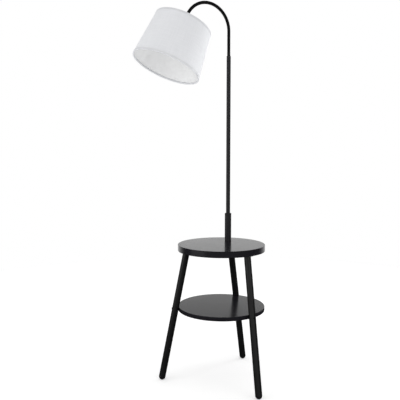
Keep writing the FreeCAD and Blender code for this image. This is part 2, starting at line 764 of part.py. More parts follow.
def holder_parts(head):
    """The lamp holder: head's Z axis is the shade's, from the shade's top to its mouth."""
    cap_top = "(neck_end_hose - neck_end)"
    cap_inner = "(cap_dia / 2 - cap_wall)"
    cap = turned(
        "cap",
        (
            (THREAD, cap_top),
            ("cap_top_dia / 2", cap_top),
            ("cap_dia / 2", f"{cap_top} + cap_shoulder"),
            ("cap_dia / 2", "cap_below"),
            (cap_inner, "cap_below"),
            (cap_inner, f"{cap_top} + cap_wall + cap_shoulder"),
            ("cap_top_dia / 2 - cap_wall", f"{cap_top} + cap_wall"),
            (THREAD, f"{cap_top} + cap_wall"),
        ),
        head,
    )
    softened(cap, "Fillet", "cap_rounding", [("cap_top_dia / 2", cap_top)])
    keep("holder_cap", cap)
    nut_place = head.multiply(Placement(Z * value(f"{cap_top} + cap_wall"), Rotation()))
    keep("holder_lock_nut", hex_nut("lock_nut", "lock_nut_across", "lock_nut_thick", nut_place))

    outer = "holder_dia / 2"
    wide = "(holder_dia / 2 - holder_wall)"
    narrow = "(shell_bore / 2 + shell_wall + 2 * soft_fit)"
    low = "(cap_below + holder_length)"
    block_high = "(cap_below + block_setback)"
    block_low = f"({block_high} + block_length)"
    ledge = f"({block_low} + shell_flange_thick)"
    flange_low = "(cap_below + holder_flange_thick)"
    body = turned(
        "holder",
        (
            (wide, "cap_below"),
            ("holder_flange_dia / 2", "cap_below"),
            ("holder_flange_dia / 2", flange_low),
            (outer, flange_low),
            (outer, low),
            (narrow, low),
            (narrow, ledge),
            (wide, ledge),
        ),
        head,
    )
    rims = [("holder_flange_dia / 2", flange_low), (outer, low)]
    softened(body, "Fillet", "holder_rounding", rims)
    keep("holder_body", body)

    inside = f"({wide} - push_fit)"
    shell = turned(
        "shell",
        (
            ("shell_bore / 2", block_low),
            (inside, block_low),
            (inside, ledge),
            ("shell_bore / 2 + shell_wall", ledge),
            ("shell_bore / 2 + shell_wall", f"{block_low} + shell_length"),
            ("shell_bore / 2", f"{block_low} + shell_length"),
        ),
        head,
    )
    keep("threaded_shell", shell)

    blank = turned(
        "ceramic",
        (("0", block_high), (inside, block_high), (inside, block_low), ("0", block_low)),
        head,
    )
    sides = (Vector(1, 0, 0), Vector(-1, 0, 0))
    entries = [side * value("terminal_offset") + Z * value(block_high) for side in sides]
    terminals = [head.multiply(Placement(entry, Rotation())) for entry in entries]
    holes = [
        rod(f"terminal_hole_{i}", "terminal_dia / 2 + push_fit", "terminal_length + bore_spare", place)
        for i, place in enumerate(terminals)
    ]
    floor = head.multiply(Placement(Z * value(f"{block_low} - contact_recess"), Rotation()))
    around = "sqrt(contact_length ^ 2 + contact_width ^ 2) / 2 + contact_play"
    recess = rod("contact_recess", around, "contact_recess", floor)
    keep("contact_block", cut("contact_block", blank, holes + [recess]))
    terminal = turned(
        "terminal",
        (
            ("0", "-terminal_head_thick"),
            ("terminal_head_dia / 2", "-terminal_head_thick"),
            ("terminal_head_dia / 2", "0"),
            ("terminal_dia / 2", "0"),
            ("terminal_dia / 2", "terminal_length"),
            ("0", "terminal_length"),
        ),
    )
    group("terminal_screws", terminal, terminals)

    tongue = block("tongue", "contact_width", "contact_length", "contact_thick", floor)
    button = rod("button", "contact_button_dia / 2", "contact_button_height", floor)
    keep("centre_contact", joined("contact", [tongue, button]))

    fitter_low = f"({flange_low} + fitter_thick)"
    nut_low = f"{fitter_low} + ring_nut_thick"
    nut = pipe("ring_nut", "ring_nut_dia / 2", f"{outer} + push_fit", fitter_low, nut_low, head)
    softened(nut, "Fillet", "ring_nut_rounding", [("ring_nut_dia / 2", nut_low)])
    keep("shade_ring_nut", nut)
    return flange_low


# ---- the shade -------------------------------------------------------------------------------------


def skin_at(depth, inset="0"):
    """The radius of the fabric's outer face at a depth below the shade's top, less an inset."""
    slope = "(shade_bottom_dia - shade_top_dia) / 2 / shade_height"
    return f"(shade_top_dia / 2 + ({depth}) * {slope} - ({inset}))"


def hem(name, rim, inward, head, drills):
    """A tape folded over one rim: outside the fabric, over its edge and behind the wire ring. The rim
    is a depth, and inward is + where the rest of the shade lies deeper and - where it lies higher."""
    outside = "-(soft_fit + hem_thick)"
    near = "-soft_fit"
    behind = "(skin_thick + 3 * soft_fit + wire_dia)"
    inside = f"({behind} + hem_thick)"
    under = f"({rim} {inward} hem_thick)"
    end = f"({rim} {inward} hem_width)"
    corners = (
        (skin_at(rim, outside), rim),
        (skin_at(end, outside), end),
        (skin_at(end, near), end),
        (skin_at(under, near), under),
        (skin_at(under, behind), under),
        (skin_at(end, behind), end),
        (skin_at(end, inside), end),
        (skin_at(rim, inside), rim),
    )
    tape = turned(f"{name}_tape", corners, head)
    return keep(name, cut(name, tape, drills) if drills else tape)


def shade_parts(head, flange_low):
    """The fabric, its two hems, the wire ring at its mouth and the spoked frame at its top."""
    top_rim = "0"
    mouth = "shade_height"
    first = "(hem_thick + soft_fit)"
    last = "(shade_height - hem_thick - soft_fit)"
    skin = turned(
        "skin",
        (
            (skin_at(first, "skin_thick"), first),
            (skin_at(first), first),
            (skin_at(last), last),
            (skin_at(last, "skin_thick"), last),
        ),
        head,
    )
    keep("shade_skin", skin)

    wire = "wire_dia / 2"
    inset = f"skin_thick + 2 * soft_fit + {wire}"
    high = f"(hem_thick + 2 * soft_fit + {wire})"
    deep = f"(shade_height - hem_thick - 2 * soft_fit - {wire})"
    rings = {}
    for name, depth in (("top_wire", high), ("mouth_wire", deep)):
        loop = doc.addObject("Part::Torus", name)
        loop.setExpression("Radius1", bound(skin_at(depth, inset)))
        loop.setExpression("Radius2", bound(wire))
        loop.Placement = head.multiply(Placement(Z * value(depth), Rotation()))
        rings[name] = loop
    keep("shade_bottom_ring", rings["mouth_wire"])

    fitter_low = f"({flange_low} + fitter_thick)"
    hole = "holder_dia / 2 + 3 * soft_fit"
    fitter = pipe("fitter", "fitter_dia / 2", hole, flange_low, fitter_low, head)
    foot = "(holder_flange_dia / 2 + spoke_setback)"
    foot_depth = f"({flange_low} - {wire} + spoke_weld)"
    tip = skin_at(high, inset)
    inner = Vector(value(foot), 0, value(foot_depth))
    outer = Vector(value(tip), 0, value(high))
    reach = f"sqrt(({tip} - {foot}) ^ 2 + ({foot_depth} - {high}) ^ 2)"
    spokes = []
    slots = []
    for i in range(SPOKES):
        turn = Placement(Vector(), Rotation(Z, 360 * (i + 0.5) / SPOKES))
        place = head.multiply(turn).multiply(along(inner, outer - inner))
        spokes.append(rod(f"spoke_{i}", wire, reach, place))
        slots.append(rod(f"hem_slot_{i}", f"{wire} + 3 * soft_fit", reach, place))
    keep("shade_top_frame", joined("top_frame", [rings["top_wire"], fitter] + spokes))

    hem("shade_top_hem", top_rim, "+", head, slots)
    hem("shade_bottom_hem", mouth, "-", head, [])


# ---- the whole lamp --------------------------------------------------------------------------------

legs = [Leg(side, azimuth) for side, azimuth in LEGS.items()]
table_top(legs)
lower_shelf(legs)
for one in legs:
    leg_piece(one)
    foot_cap(one)
    leg_plate(one)
fasteners(legs)
pole_parts()
lamp_head = neck_parts()
shade_parts(lamp_head, holder_parts(lamp_head))
doc.recompute()

for item in doc.Objects:
    if "Invalid" in item.State or "Error" in item.State:
        raise RuntimeError(f"{item.Name} failed: {item.State}")
for label, piece in parts.items():
    if piece.Shape.isNull() or not piece.Shape.isValid() or not piece.Shape.Solids:
        raise RuntimeError(f"{label} has no valid shape")

os.makedirs("parts", exist_ok=True)
for label, piece in parts.items():
    piece.Shape.exportStep(f"parts/{label}.step")
print(f"{len(parts)} sub-parts")
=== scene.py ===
import json
import math

import bmesh
import bpy
from mathutils import Matrix, Vector


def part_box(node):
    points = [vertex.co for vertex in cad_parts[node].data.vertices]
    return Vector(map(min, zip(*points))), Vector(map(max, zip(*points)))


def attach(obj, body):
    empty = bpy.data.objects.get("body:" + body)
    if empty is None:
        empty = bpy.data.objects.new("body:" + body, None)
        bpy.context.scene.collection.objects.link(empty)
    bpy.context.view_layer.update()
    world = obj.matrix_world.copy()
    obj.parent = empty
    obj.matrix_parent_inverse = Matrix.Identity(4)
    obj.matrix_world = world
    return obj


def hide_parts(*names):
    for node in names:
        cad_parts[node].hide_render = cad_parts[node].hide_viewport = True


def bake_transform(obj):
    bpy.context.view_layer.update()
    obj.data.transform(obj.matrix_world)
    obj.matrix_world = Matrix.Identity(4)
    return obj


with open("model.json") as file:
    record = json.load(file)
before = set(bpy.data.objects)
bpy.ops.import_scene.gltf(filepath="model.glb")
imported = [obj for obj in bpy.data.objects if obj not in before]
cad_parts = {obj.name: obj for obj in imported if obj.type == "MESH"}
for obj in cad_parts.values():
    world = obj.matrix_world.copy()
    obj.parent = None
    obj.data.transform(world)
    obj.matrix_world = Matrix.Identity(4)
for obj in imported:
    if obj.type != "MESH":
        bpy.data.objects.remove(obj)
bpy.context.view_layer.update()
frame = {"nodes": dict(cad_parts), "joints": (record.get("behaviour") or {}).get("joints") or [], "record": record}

# A floor lamp with a round table and a shelf. The sections follow the lamp as it is put together,
# from the floor up, after the studio in which it stands. Metres, +Z up, the pole towards +Y.


# ---- the studio ------------------------------------------------------------------------------------
# A pale floor and a white backdrop that lights the lamp from all round, with a soft lamp on either
# side and a stronger one behind. The camera stands in front and to the right, a little above the
# table, and looks slightly down.

CAMERA_PLACE = (0.6012, -2.1536, 0.9299)
CAMERA_HEADING = 17.8
CAMERA_PITCH = -5.05
CAMERA_LENS = 50.5

camera_data = bpy.data.cameras.new("camera")
camera_data.lens = CAMERA_LENS
camera_data.sensor_width = 36
camera = bpy.data.objects.new("camera", camera_data)
camera.location = CAMERA_PLACE
camera.rotation_euler = (math.radians(90 + CAMERA_PITCH), 0, math.radians(CAMERA_HEADING))
bpy.context.collection.objects.link(camera)
bpy.context.scene.camera = camera
bpy.context.scene.view_settings.view_transform = "Standard"


def add(tree, kind, inputs=None, **settings):
    """A node with its settings, and its inputs set to a value or linked to another node's output."""
    made = tree.nodes.new(kind)
    for name, setting in settings.items():
        setattr(made, name, setting)
    for name, source in (inputs or {}).items():
        if isinstance(source, bpy.types.NodeSocket):
            tree.links.new(source, made.inputs[name])
        else:
            made.inputs[name].default_value = source
    return made


def calculate(tree, operation, *values):
    """The result of a Math node."""
    return add(tree, "ShaderNodeMath", dict(enumerate(values)), operation=operation).outputs[0]


def mapped(tree, source, low, high, start=0.3, end=0.7, kind="LINEAR"):
    """The source's values from start to end, spread from low to high."""
    return add(
        tree,
        "ShaderNodeMapRange",
        {"Value": source, "From Min": start, "From Max": end, "To Min": low, "To Max": high},
        interpolation_type=kind,
    ).outputs[0]


def seen_directly(tree):
    """1 for what the camera sees, also by reflection or through glass, and 0 for the light itself."""
    rays = add(tree, "ShaderNodeLightPath").outputs
    mirrored = calculate(tree, "MAXIMUM", rays["Is Camera Ray"], rays["Is Glossy Ray"])
    return calculate(tree, "MAXIMUM", mirrored, rays["Is Transmission Ray"])


LAMPS_AIM = (0, 0, 0.8)


def lamp(name, place, size, power, mirrored=True):
    """A tall soft lamp that faces the middle of the object, kept out of reflections if need be."""
    data = bpy.data.lights.new(name, "AREA")
    data.shape = "RECTANGLE"
    data.size, data.size_y = size
    data.energy = power
    made = bpy.data.objects.new(name, data)
    made.location = place
    aim = Vector(LAMPS_AIM) - Vector(place)
    made.rotation_euler = aim.to_track_quat("-Z", "Y").to_euler()
    made.visible_glossy = mirrored
    bpy.context.collection.objects.link(made)


lamp("lamp_left", (-1.86, -1.76, 1.15), (2.0, 2.1), 12.5)
lamp("lamp_right", (2.3, -1.1, 1.6), (1.4, 1.8), 6.5)
lamp("lamp_behind", (1.9, 2.5, 0.9), (1.0, 2.0), 31, mirrored=False)

AMBIENT = 0.67
SIDE_WALLS = 0.04
FRONT_WALL = 0.55
CEILING = 0.12

world = bpy.data.worlds.new("backdrop")
world.use_nodes = True
bpy.context.scene.world = world
sky = world.node_tree
sky.nodes.clear()
heading = math.radians(90 + CAMERA_HEADING)
direction = add(sky, "ShaderNodeTexCoord").outputs["Generated"]
height = add(sky, "ShaderNodeSeparateXYZ", {0: direction}).outputs["Z"]
onward = add(
    sky,
    "ShaderNodeVectorMath",
    {0: direction, 1: (math.cos(heading), math.sin(heading), 0)},
    operation="DOT_PRODUCT",
).outputs["Value"]
# the lamp mirrors the white backdrop behind it and a greyer wall in front, under a dim ceiling
behind = mapped(sky, onward, SIDE_WALLS, 1, 0.35, 0.9, "SMOOTHSTEP")
in_front = mapped(sky, onward, FRONT_WALL, 0, -0.9, -0.35, "SMOOTHSTEP")
in_front = calculate(sky, "MULTIPLY", in_front, mapped(sky, height, 0, 1, -0.14, -0.03))
walls = calculate(sky, "ADD", behind, in_front)
walls = calculate(sky, "MULTIPLY", walls, mapped(sky, height, 1, CEILING, 0.17, 0.375))
rays = add(sky, "ShaderNodeLightPath").outputs
shown = calculate(sky, "MAXIMUM", rays["Is Camera Ray"], rays["Is Transmission Ray"])
mirrored = calculate(sky, "MULTIPLY", rays["Is Glossy Ray"], walls)
bright = calculate(sky, "MAXIMUM", shown, mirrored)
lighting = add(sky, "ShaderNodeBackground", {"Color": (1, 1, 1, 1), "Strength": AMBIENT})
pure = add(sky, "ShaderNodeBackground", {"Color": (1, 1, 1, 1), "Strength": bright})
mixed = add(
    sky,
    "ShaderNodeMixShader",
    {0: seen_directly(sky), 1: lighting.outputs[0], 2: pure.outputs[0]},
)
add(sky, "ShaderNodeOutputWorld", {"Surface": mixed.outputs[0]})


def new_material(name, colour, roughness):
    """A material whose shader takes the rest of its detail from nodes."""
    made = bpy.data.materials.new(name)
    made.use_nodes = True
    made.diffuse_color = (*colour, 1)
    tree = made.node_tree
    shader = tree.nodes["Principled BSDF"]
    shader.inputs["Base Color"].default_value = (*colour, 1)
    shader.inputs["Roughness"].default_value = roughness
    return made, tree, shader


FLOOR_RADIUS = 2.6
bpy.ops.mesh.primitive_circle_add(vertices=96, radius=FLOOR_RADIUS, fill_type="NGON")
floor = bpy.context.object
floor.name = "floor"
floor_material, tree, shader = new_material("floor_white", (0.86, 0.86, 0.86), 0.9)
shader.inputs["Specular IOR Level"].default_value = 0
# the camera sees the floor as white paper, with only part of the shadow that falls on it
FLOOR_GLOW = 0.42
FLOOR_BOUNCE = 0.25
glow = add(tree, "ShaderNodeEmission", {"Color": (1, 1, 1, 1), "Strength": FLOOR_GLOW})
glowing = add(tree, "ShaderNodeAddShader", {0: shader.outputs[0], 1: glow.outputs[0]})
# paper all round the lamp throws light up at it
bounce = add(tree, "ShaderNodeEmission", {"Color": (1, 1, 1, 1), "Strength": FLOOR_BOUNCE})
bouncing = add(tree, "ShaderNodeAddShader", {0: shader.outputs[0], 1: bounce.outputs[0]})
shown = add(
    tree,
    "ShaderNodeMixShader",
    {0: seen_directly(tree), 1: bouncing.outputs[0], 2: glowing.outputs[0]},
)
# the lamp mirrors the floor of the room around the paper, which is dark
room_floor = add(tree, "ShaderNodeBsdfDiffuse", {"Color": (0.03, 0.03, 0.03, 1)})
final = add(
    tree,
    "ShaderNodeMixShader",
    {
        0: add(tree, "ShaderNodeLightPath").outputs["Is Glossy Ray"],
        1: shown.outputs[0],
        2: room_floor.outputs[0],
    },
)
tree.links.new(final.outputs[0], tree.nodes["Material Output"].inputs["Surface"])
floor.data.materials.append(floor_material)


# ---- foot caps -------------------------------------------------------------------------------------
# Moulded plastic domes, each pushed into the end of its leg by a spigot and rubbed flat where it
# stands. Their skin is finely pebbled by the mould.

LEGS = ("rear", "left", "right")


def noise(tree, scale, detail=2, where=None):
    """Noise in the object's own space, or in the given coordinates."""
    if where is None:
        where = add(tree, "ShaderNodeTexCoord").outputs["Object"]
    return add(tree, "ShaderNodeTexNoise", {"Vector": where, "Scale": scale, "Detail": detail})


def bump(tree, shader, height, depth, strength=1.0, under=None):
    """Raises the surface by a height from 0 to 1 times the depth, over an earlier bump if given."""
    inputs = {"Height": height, "Distance": depth, "Strength": strength}
    if under is not None:
        inputs["Normal"] = under
    made = add(tree, "ShaderNodeBump", inputs)
    tree.links.new(made.outputs[0], shader.inputs["Normal"])
    return made.outputs[0]


def tinted(tree, shader, source, dark, pale):
    """Moves the base colour between two tones."""
    mix = add(tree, "ShaderNodeMix", data_type="RGBA")
    tree.links.new(source, mix.inputs["Factor"])
    mix.inputs["A"].default_value = (*dark, 1)
    mix.inputs["B"].default_value = (*pale, 1)
    tree.links.new(mix.outputs["Result"], shader.inputs["Base Color"])


def moulded(name, dark, pale, roughness, pebble):
    """Moulded plastic with a pebbled skin, scuffed here and there."""
    made, tree, shader = new_material(name, dark, roughness)
    scuffs = noise(tree, 60, 5)
    tinted(tree, shader, mapped(tree, scuffs.outputs[0], 0, 1, 0.45, 0.75), dark, pale)
    tree.links.new(
        mapped(tree, scuffs.outputs[0], roughness - 0.06, roughness + 0.1),
        shader.inputs["Roughness"],
    )
    bump(tree, shader, noise(tree, pebble, 3).outputs[0], 0.00012, 0.5)
    return made


def dress(material, *names):
    """Gives CAD nodes a finish."""
    for name in names:
        node = frame["nodes"][name]
        if not node.material_slots:
            node.data.materials.append(material)
        for slot in node.material_slots:
            slot.material = material


black_tip = moulded("tip_plastic", (0.005, 0.005, 0.0055), (0.01, 0.01, 0.0105), 0.42, 900)
dress(black_tip, *(f"foot_cap_{side}" for side in LEGS))


# ---- legs ------------------------------------------------------------------------------------------
# Turned hardwood, sprayed satin black. The grain telegraphs faintly through the paint along each
# leg, so every leg has its own paint, turned with it.

LEG_RADIUS = 0.0135
FOOT_FLAT = 0.0008
LEG_BLACK = (0.004, 0.004, 0.0043)
LEG_SHEEN = 0.34


def middle(name):
    """The middle of a CAD node's box."""
    low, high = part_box(name)
    return (Vector(low) + Vector(high)) / 2


def leg_axis(side):
    """From the foot's dome up to the middle of the leg's plate."""
    cap = middle(f"foot_cap_{side}")
    plate = middle(f"leg_plate_{side}")
    return (plate - cap).normalized()


def painted_wood(name, axis):
    """Black paint over wood whose grain runs along an axis."""
    made, tree, shader = new_material(name, LEG_BLACK, LEG_SHEEN)
    turn = axis.rotation_difference(Vector((0, 0, 1))).to_euler()
    space = add(tree, "ShaderNodeTexCoord").outputs["Object"]
    upright = add(tree, "ShaderNodeMapping", {"Vector": space, "Rotation": turn})
    drawn = add(tree, "ShaderNodeMapping", {"Vector": upright.outputs[0], "Scale": (1, 1, 0.03)})
    grain = noise(tree, 420, 4, drawn.outputs[0])
    cloud = noise(tree, 9, 3)
    tinted(tree, shader, mapped(tree, cloud.outputs[0], 0, 1), LEG_BLACK, (0.007, 0.007, 0.0074))
    tree.links.new(
        mapped(tree, cloud.outputs[0], LEG_SHEEN - 0.05, LEG_SHEEN + 0.07), shader.inputs["Roughness"]
    )
    first = bump(tree, shader, grain.outputs[0], 0.00022, 0.35)
    bump(tree, shader, noise(tree, 1300, 2).outputs[0], 0.00005, 0.35, first)
    return made


for side in LEGS:
    dress(painted_wood(f"leg_paint_{side}", leg_axis(side)), f"leg_{side}")


# ---- leg plates and their bolts --------------------------------------------------------------------
# Zinc-plated steel plates, each with a threaded boss that leans with its leg. They are screwed under
# the table top, and a hanger bolt draws the leg up to the boss.


def zinc(name):
    """Bright zinc plating: cloudy crystals and fine rubbing marks on steel."""
    made, tree, shader = new_material(name, (0.55, 0.56, 0.58), 0.34)
    shader.inputs["Metallic"].default_value = 1
    cloud = noise(tree, 90, 4)
    tinted(tree, shader, cloud.outputs[0], (0.44, 0.45, 0.47), (0.66, 0.67, 0.69))
    space = add(tree, "ShaderNodeTexCoord").outputs["Object"]
    drawn = add(tree, "ShaderNodeMapping", {"Vector": space, "Scale": (1, 0.08, 1)})
    rubbed = noise(tree, 700, 3, drawn.outputs[0])
    tree.links.new(mapped(tree, rubbed.outputs[0], 0.26, 0.42), shader.inputs["Roughness"])
    bump(tree, shader, rubbed.outputs[0], 0.00003, 0.3)
    return made


zinc_plate = zinc("zinc_plating")
dress(zinc_plate, *(f"leg_plate_{side}" for side in LEGS), "hanger_bolts", "shelf_barrel_nuts")


# ---- plate screws ----------------------------------------------------------------------------------
# Countersunk wood screws with a cross recess, three in each leg plate, driven up into the table top.

SCREW_HEAD = 0.0038
SCREW_HEAD_THICK = 0.0018
SCREW_RIM_IN = 0.0003
SCREW_RIM_DOWN = 0.0002
SCREW_SHANK = 0.002
SCREW_LENGTH = 0.016
SCREW_POINT = 0.004
SCREW_CIRCLE = 0.019
RECESS_ARM = 0.0024
RECESS_HALF = 0.00045
RECESS_DEPTH = 0.0013
SCREWS_PER_PLATE = 3


def finished(made, material, sharp=35):
    """Ends a piece: merged points, outward faces, smooth shading and its finish."""
    mesh = bmesh.new()
    mesh.from_mesh(made.data)
    bmesh.ops.remove_doubles(mesh, verts=mesh.verts, dist=1e-6)
    bmesh.ops.recalc_face_normals(mesh, faces=mesh.faces)
    mesh.to_mesh(made.data)
    mesh.free()
    made.data.materials.clear()
    made.data.materials.append(material)
    made.data.shade_smooth()
    made.data.set_sharp_from_angle(angle=math.radians(sharp))
    return made


def settled(made):
    """Turns a piece and its modifiers into one plain mesh."""
    evaluated = made.evaluated_get(bpy.context.evaluated_depsgraph_get())
    mesh = bpy.data.meshes.new_from_object(evaluated)
    made.modifiers.clear()
    made.data = mesh
    return made


def piece(name, mesh):
    """An object for a bmesh, at the origin."""
    data = bpy.data.meshes.new(name)
    mesh.to_mesh(data)
    mesh.free()
    made = bpy.data.objects.new(name, data)
    bpy.context.collection.objects.link(made)
    return made


def lathe(name, outline, place=Matrix(), steps=64, shaped=None):
    """Turns a closed outline of (radius, height) points about the place's Z axis. shaped, if given,
    changes a radius by the angle and height."""
    mesh = bmesh.new()
    rings = []
    for radius, height in outline:
        if radius == 0:
            rings.append([mesh.verts.new(place @ Vector((0, 0, height)))])
            continue
        ring = []
        for i in range(steps):
            angle = 2 * math.pi * i / steps
            reach = shaped(radius, height, angle) if shaped else radius
            spot = Vector((reach * math.cos(angle), reach * math.sin(angle), height))
            ring.append(mesh.verts.new(place @ spot))
        rings.append(ring)
    for one, two in zip(rings, rings[1:] + rings[:1]):
        if len(one) == 1 and len(two) == 1:
            continue
        for i in range(steps):
            j = (i + 1) % steps
            corners = [one[i % len(one)], one[j % len(one)], two[j % len(two)], two[i % len(two)]]
            mesh.faces.new(list(dict.fromkeys(corners)))
    return piece(name, mesh)


def prism(name, corners, low, high):
    """An upright block over an outline of (x, y) corners, used as a punch."""
    mesh = bmesh.new()
    base = [mesh.verts.new((x, y, low)) for x, y in corners]
    lid = [mesh.verts.new((x, y, high)) for x, y in corners]
    mesh.faces.new(base)
    mesh.faces.new(lid)
    for i in range(len(corners)):
        j = (i + 1) % len(corners)
        mesh.faces.new((base[i], base[j], lid[j], lid[i]))
    bmesh.ops.recalc_face_normals(mesh, faces=mesh.faces)
    return piece(name, mesh)


def punched(made, punches):
    """Takes the punches' shapes out of a piece and removes them."""
    for punch in punches:
        bite = made.modifiers.new("punch", "BOOLEAN")
        bite.operation = "DIFFERENCE"
        bite.object = punch
        bite.solver = "EXACT"
        made = settled(made)
        bpy.data.objects.remove(punch)
    return made


def fastener_tree():
    """Geometry nodes that stand a copy of one fastener on every point, along the point's aim."""
    tree = bpy.data.node_groups.new("fasteners", "GeometryNodeTree")
    face = tree.interface
    face.new_socket("Geometry", in_out="INPUT", socket_type="NodeSocketGeometry")
    face.new_socket("Fastener", in_out="INPUT", socket_type="NodeSocketObject")
    face.new_socket("Finish", in_out="INPUT", socket_type="NodeSocketMaterial")
    face.new_socket("Geometry", in_out="OUTPUT", socket_type="NodeSocketGeometry")
    given = add(tree, "NodeGroupInput").outputs
    info = add(tree, "GeometryNodeObjectInfo", {"Object": given["Fastener"]})
    aim = add(tree, "GeometryNodeInputNamedAttribute", {"Name": "aim"}, data_type="FLOAT_VECTOR")
    turn = add(
        tree,
        "FunctionNodeAlignRotationToVector",
        {"Vector": aim.outputs["Attribute"]},
        axis="Z",
    )
    copies = add(
        tree,
        "GeometryNodeInstanceOnPoints",
        {
            "Points": given["Geometry"],
            "Instance": info.outputs["Geometry"],
            "Rotation": turn.outputs["Rotation"],
        },
    )
    real = add(tree, "GeometryNodeRealizeInstances", {"Geometry": copies.outputs[0]})
    coated = add(
        tree,
        "GeometryNodeSetMaterial",
        {"Geometry": real.outputs[0], "Material": given["Finish"]},
    )
    add(tree, "NodeGroupOutput", {"Geometry": coated.outputs[0]})
    return tree


def set_inputs(modifier, **values):
    """Sets a geometry nodes modifier's inputs by their names."""
    for item in modifier.node_group.interface.items_tree:
        if item.in_out == "INPUT" and item.name in values:
            modifier[item.identifier] = values[item.name]


def fasteners(name, master, places, material):
    """One piece with a copy of the master at each (point, aim). The master is then removed."""
    mesh = bpy.data.meshes.new(name)
    mesh.from_pydata([point for point, aim in places], [], [])
    aims = mesh.attributes.new("aim", "FLOAT_VECTOR", "POINT")
    for i, (point, aim) in enumerate(places):
        aims.data[i].vector = aim
    made = bpy.data.objects.new(name, mesh)
    bpy.context.collection.objects.link(made)
    copies = made.modifiers.new("copies", "NODES")
    copies.node_group = FASTENERS
    set_inputs(copies, Fastener=master, Finish=material)
    made = settled(made)
    bpy.data.objects.remove(master)
    return made


FASTENERS = fastener_tree()
screw = lathe(
    "screw_master",
    (
        (0, 0),
        (SCREW_HEAD - SCREW_RIM_IN, 0),
        (SCREW_HEAD, SCREW_RIM_DOWN),
        (SCREW_SHANK, SCREW_HEAD_THICK),
        (SCREW_SHANK, SCREW_LENGTH - SCREW_POINT),
        (0, SCREW_LENGTH),
    ),
    steps=32,
)
cross_recess = [
    prism("recess", ((-x, -y), (x, -y), (x, y), (-x, y)), -RECESS_DEPTH, RECESS_DEPTH)
    for x, y in ((RECESS_ARM, RECESS_HALF), (RECESS_HALF, RECESS_ARM))
]
screw = finished(punched(screw, cross_recess), zinc_plate)
up = Vector((0, 0, 1))
places = []
for side, azimuth in zip(LEGS, (90, 210, 330)):
    centre = middle(f"leg_plate_{side}")
    centre.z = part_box("leg_plate_screws")[0][2]
    for i in range(SCREWS_PER_PLATE):
        angle = math.radians(azimuth + 360 * i / SCREWS_PER_PLATE)
        outward = Vector((math.cos(angle), math.sin(angle), 0))
        places.append((centre + outward * SCREW_CIRCLE, up))
screws = fasteners("plate_screws", screw, places, zinc_plate)
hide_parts("leg_plate_screws")
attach(screws, "stand")


# ---- lower shelf and table top ---------------------------------------------------------------------
# Round boards with softened edges, sprayed satin black all over. The paint has the faint ripple of
# spraying and hairline rubbing marks.

BOARD_SHEEN = 0.2


def board_paint(name):
    """Satin black on a flat board."""
    made, tree, shader = new_material(name, (0.0095, 0.009, 0.012), BOARD_SHEEN)
    cloud = noise(tree, 7, 4)
    tinted(tree, shader, cloud.outputs[0], (0.0075, 0.007, 0.01), (0.0115, 0.011, 0.014))
    rubbing = noise(tree, 55, 6)
    both = calculate(tree, "ADD", cloud.outputs[0], rubbing.outputs[0])
    tree.links.new(
        mapped(tree, both, BOARD_SHEEN - 0.01, BOARD_SHEEN + 0.02, 0.7, 1.3),
        shader.inputs["Roughness"],
    )
    first = bump(tree, shader, noise(tree, 260, 2).outputs[0], 0.00001, 0.2)
    bump(tree, shader, noise(tree, 1500, 1).outputs[0], 0.00002, 0.12, first)
    return made


dress(board_paint("shelf_paint"), "lower_shelf")
dress(board_paint("table_paint"), "table_top")


# ---- shelf bolts -----------------------------------------------------------------------------------
# Low round heads with a hexagon socket, one on the outer side of each leg. Each passes through the
# leg into a cross dowel in the shelf.

HEAD_RADIUS = 0.0055
HEAD_THICK = 0.0029
HEAD_ROUNDING = 0.0012
BOLT_RADIUS = 0.003
BOLT_PAST_LEG = 0.033
SEAT_DEPTH = 0.0013
SOCKET_RADIUS = 0.0023
SOCKET_DEPTH = 0.0018
SOCKET_ABOVE = 0.001
DOME_STEPS = 5

black_steel = moulded("blackened_steel", (0.012, 0.012, 0.013), (0.03, 0.03, 0.03), 0.3, 1400)
black_steel.node_tree.nodes["Principled BSDF"].inputs["Metallic"].default_value = 0.7
shelf_low, shelf_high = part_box("lower_shelf")
shelf_middle = (shelf_low[2] + shelf_high[2]) / 2
crown = []
for i in range(DOME_STEPS + 1):
    turn = math.pi / 2 * i / DOME_STEPS
    reach = HEAD_RADIUS - HEAD_ROUNDING * (1 - math.sin(turn))
    crown.append((reach, -HEAD_THICK + HEAD_ROUNDING * (1 - math.cos(turn))))
bolt_end = 2 * LEG_RADIUS - SEAT_DEPTH + BOLT_PAST_LEG
shank = [(HEAD_RADIUS, 0), (BOLT_RADIUS, 0), (BOLT_RADIUS, bolt_end), (0, bolt_end)]
bolt = lathe("bolt_master", [(0, -HEAD_THICK)] + crown + shank, steps=48)
hexagon = [
    (SOCKET_RADIUS * math.cos(math.pi / 3 * i), SOCKET_RADIUS * math.sin(math.pi / 3 * i))
    for i in range(6)
]
socket = prism("socket", hexagon, -HEAD_THICK - SOCKET_ABOVE, -HEAD_THICK + SOCKET_DEPTH)
bolt = finished(punched(bolt, [socket]), black_steel)
places = []
for mount in frame["record"]["mounts"]:
    if mount["name"] in ("foot_rear", "foot_left", "foot_right"):
        side = mount["name"].split("_")[1]
        foot = Vector(mount["pos_m"]) + Vector((0, 0, LEG_RADIUS - FOOT_FLAT))
        plate = middle(f"leg_plate_{side}")
        plate.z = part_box("leg_plate_screws")[0][2]
        share = (shelf_middle - foot.z) / (plate.z - foot.z)
        crossing = foot.lerp(plate, share)
        outward = Vector((crossing.x, crossing.y, 0)).normalized()
        places.append((crossing + outward * (LEG_RADIUS - SEAT_DEPTH), -outward))
bolts = fasteners("shelf_bolt_heads", bolt, places, black_steel)
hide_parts("shelf_bolts")
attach(bolts, "stand")


# ---- stem, washer, nut and gland -------------------------------------------------------------------
# A hollow threaded stem clamps the sleeve to the table top with a washer and a nut from below. A
# soft plastic gland on its end guards the lead's way in.

